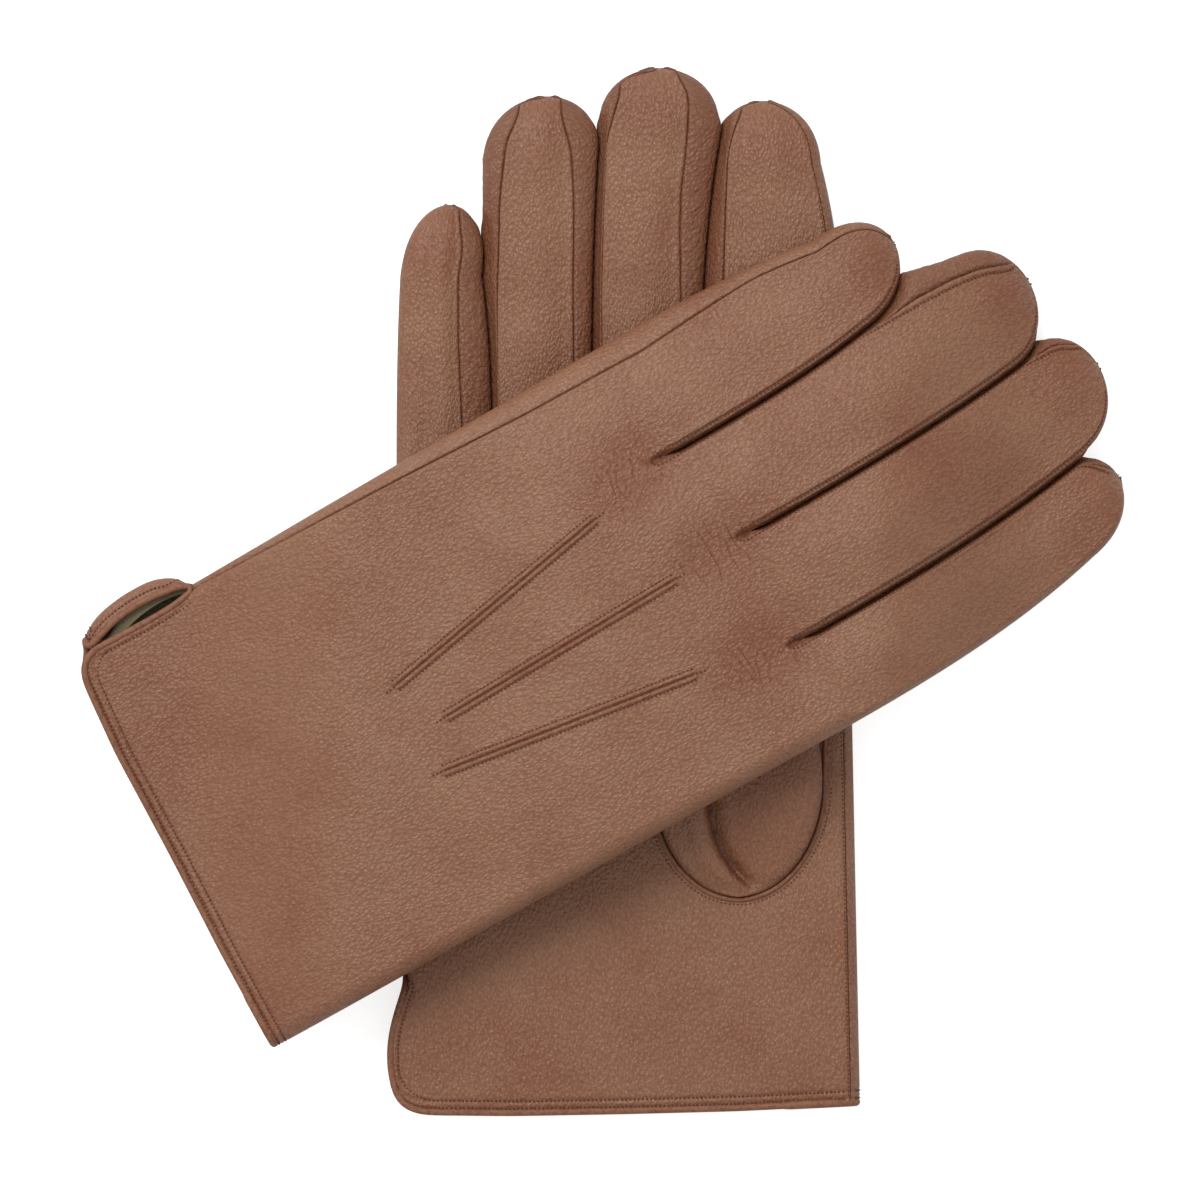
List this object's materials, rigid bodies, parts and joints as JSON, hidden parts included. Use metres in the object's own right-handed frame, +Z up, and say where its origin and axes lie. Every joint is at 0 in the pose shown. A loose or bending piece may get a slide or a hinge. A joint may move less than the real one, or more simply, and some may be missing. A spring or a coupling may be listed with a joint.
{
  "type": "pair of leather gloves",
  "caption": "Pair of men's tan leather dress gloves laid crossed, one palm up and one back up, with bound cuffs, side vents and sewn points.",
  "frame": {"origin": "on the table, under the middle of the pair's bounding box", "axes": "+Z up; +Y from the lower (right) glove's cuff to its fingertips; +X to the lower glove's index finger side"},
  "size_m": [0.2486, 0.2492, 0.0336],
  "materials": {
    "leather": "smooth tan hair-sheep leather with a fine grain and a soft sheen",
    "edge_leather": "the same leather, folded and stitched, a little darker",
    "lining": "matt knitted lining"
  },
  "bodies": {
    "right_hand": {"right_back_panel": "leather", "right_palm_panel": "leather", "right_hand_lining": "lining", "right_thumb_base": "leather", "right_thumb_welt": "edge_leather", "right_cuff_binding": "edge_leather", "right_point_outer": "edge_leather", "right_point_middle": "edge_leather", "right_point_inner": "edge_leather", "right_little_ring_fourchette": "leather", "right_ring_middle_fourchette": "leather", "right_middle_index_fourchette": "leather"},
    "right_little_finger": {"right_little_back": "leather", "right_little_palm": "leather", "right_little_fourchette": "leather", "right_little_lining": "lining"},
    "right_ring_finger": {"right_ring_back": "leather", "right_ring_palm": "leather", "right_ring_fourchette": "leather", "right_ring_lining": "lining"},
    "right_middle_finger": {"right_middle_back": "leather", "right_middle_palm": "leather", "right_middle_fourchette": "leather", "right_middle_lining": "lining"},
    "right_index_finger": {"right_index_back": "leather", "right_index_palm": "leather", "right_index_fourchette": "leather", "right_index_lining": "lining"},
    "right_thumb": {"right_thumb_tip": "leather", "right_thumb_lining": "lining"},
    "left_hand": {"left_back_panel": "leather", "left_palm_panel": "leather", "left_hand_lining": "lining", "left_thumb_base": "leather", "left_thumb_welt": "edge_leather", "left_cuff_binding": "edge_leather", "left_point_outer": "edge_leather", "left_point_middle": "edge_leather", "left_point_inner": "edge_leather", "left_little_ring_fourchette": "leather", "left_ring_middle_fourchette": "leather", "left_middle_index_fourchette": "leather"},
    "left_little_finger": {"left_little_back": "leather", "left_little_palm": "leather", "left_little_fourchette": "leather", "left_little_lining": "lining"},
    "left_ring_finger": {"left_ring_back": "leather", "left_ring_palm": "leather", "left_ring_fourchette": "leather", "left_ring_lining": "lining"},
    "left_middle_finger": {"left_middle_back": "leather", "left_middle_palm": "leather", "left_middle_fourchette": "leather", "left_middle_lining": "lining"},
    "left_index_finger": {"left_index_back": "leather", "left_index_palm": "leather", "left_index_fourchette": "leather", "left_index_lining": "lining"},
    "left_thumb": {"left_thumb_tip": "leather", "left_thumb_lining": "lining"}
  },
  "joints": [
    {"name": "left_glove_lift", "type": "slide", "parent": "right_hand", "child": "left_hand", "axis": [0, 0, 1], "range_m": [0, 0.12]},
    {"name": "right_little_fold", "type": "hinge", "parent": "right_hand", "child": "right_little_finger", "pos_m": [-0.0375, 0.0478, 0.0099], "axis": [1, 0, 0], "range_deg": [0, 70]},
    {"name": "right_ring_fold", "type": "hinge", "parent": "right_hand", "child": "right_ring_finger", "pos_m": [-0.01463, 0.0618, 0.0099], "axis": [1, 0, 0], "range_deg": [0, 70]},
    {"name": "right_middle_fold", "type": "hinge", "parent": "right_hand", "child": "right_middle_finger", "pos_m": [0.01125, 0.0778, 0.0099], "axis": [1, 0, 0], "range_deg": [0, 70]},
    {"name": "right_index_fold", "type": "hinge", "parent": "right_hand", "child": "right_index_finger", "pos_m": [0.04034, 0.0938, 0.0099], "axis": [1, 0, 0], "range_deg": [0, 70]},
    {"name": "right_thumb_swing", "type": "hinge", "parent": "right_hand", "child": "right_thumb", "pos_m": [0.04837, -0.0122, 0.0134], "axis": [0, 0, -1], "range_deg": [0, 10]},
    {"name": "left_little_fold", "type": "hinge", "parent": "left_hand", "child": "left_little_finger", "pos_m": [0.0167, 0.05117, 0.02653], "axis": [0.497, -0.8678, 0], "range_deg": [0, 70]},
    {"name": "left_ring_fold", "type": "hinge", "parent": "left_hand", "child": "left_ring_finger", "pos_m": [0.03833, 0.03151, 0.02966], "axis": [0.497, -0.8678, 0], "range_deg": [0, 70]},
    {"name": "left_middle_fold", "type": "hinge", "parent": "left_hand", "child": "left_middle_finger", "pos_m": [0.05167, 0.00822, 0.0316], "axis": [0.497, -0.8678, 0], "range_deg": [0, 70]},
    {"name": "left_index_fold", "type": "hinge", "parent": "left_hand", "child": "left_index_finger", "pos_m": [0.06194, -0.01576, 0.03159], "axis": [0.497, -0.8678, 0], "range_deg": [0, 70]},
    {"name": "left_thumb_swing", "type": "hinge", "parent": "left_hand", "child": "left_thumb", "pos_m": [0.01553, -0.04338, 0.0187], "axis": [0, 0, -1], "range_deg": [0, 8]}
  ]
}
